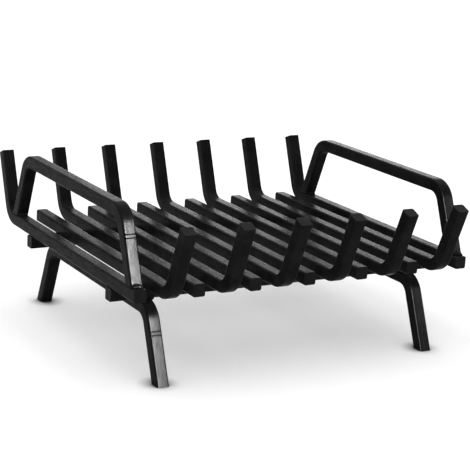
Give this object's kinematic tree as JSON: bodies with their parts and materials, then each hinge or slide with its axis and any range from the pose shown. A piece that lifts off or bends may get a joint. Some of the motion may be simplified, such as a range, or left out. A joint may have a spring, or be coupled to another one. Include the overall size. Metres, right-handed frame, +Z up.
{
  "type": "log grate",
  "caption": "Fireplace grate of square bar: level bars turned up at front or back by turns, on two cross rails and two splayed leg frames, with a loop at each side.",
  "frame": {"origin": "on the floor, below the middle of the grate", "axes": "+X to the right across the bars, +Y to the back along the bars, +Z up"},
  "size_m": [0.466, 0.479, 0.212],
  "materials": {
    "black_paint": "satin black heat-resistant paint on hot-rolled square bar",
    "painted_weld": "satin black paint over a rippled weld bead"
  },
  "bodies": {
    "root": {"grate_bar_01": "black_paint", "grate_bar_02": "black_paint", "grate_bar_03": "black_paint", "grate_bar_04": "black_paint", "grate_bar_05": "black_paint", "grate_bar_06": "black_paint", "grate_bar_07": "black_paint", "grate_bar_08": "black_paint", "grate_bar_09": "black_paint", "grate_bar_10": "black_paint", "grate_bar_11": "black_paint", "grate_bar_12": "black_paint", "grate_bar_13": "black_paint", "front_rail": "black_paint", "rear_rail": "black_paint", "left_leg_frame": "black_paint", "right_leg_frame": "black_paint", "left_side_loop": "black_paint", "right_side_loop": "black_paint", "front_rail_weld_01": "painted_weld", "front_rail_weld_02": "painted_weld", "front_rail_weld_03": "painted_weld", "front_rail_weld_04": "painted_weld", "front_rail_weld_05": "painted_weld", "front_rail_weld_06": "painted_weld", "front_rail_weld_07": "painted_weld", "front_rail_weld_08": "painted_weld", "front_rail_weld_09": "painted_weld", "front_rail_weld_10": "painted_weld", "front_rail_weld_11": "painted_weld", "front_rail_weld_12": "painted_weld", "front_rail_weld_13": "painted_weld", "rear_rail_weld_01": "painted_weld", "rear_rail_weld_02": "painted_weld", "rear_rail_weld_03": "painted_weld", "rear_rail_weld_04": "painted_weld", "rear_rail_weld_05": "painted_weld", "rear_rail_weld_06": "painted_weld", "rear_rail_weld_07": "painted_weld", "rear_rail_weld_08": "painted_weld", "rear_rail_weld_09": "painted_weld", "rear_rail_weld_10": "painted_weld", "rear_rail_weld_11": "painted_weld", "rear_rail_weld_12": "painted_weld", "rear_rail_weld_13": "painted_weld", "left_front_leg_weld": "painted_weld", "left_front_loop_weld": "painted_weld", "left_rear_leg_weld": "painted_weld", "left_rear_loop_weld": "painted_weld", "right_front_leg_weld": "painted_weld", "right_front_loop_weld": "painted_weld", "right_rear_leg_weld": "painted_weld", "right_rear_loop_weld": "painted_weld"}
  },
  "joints": []
}
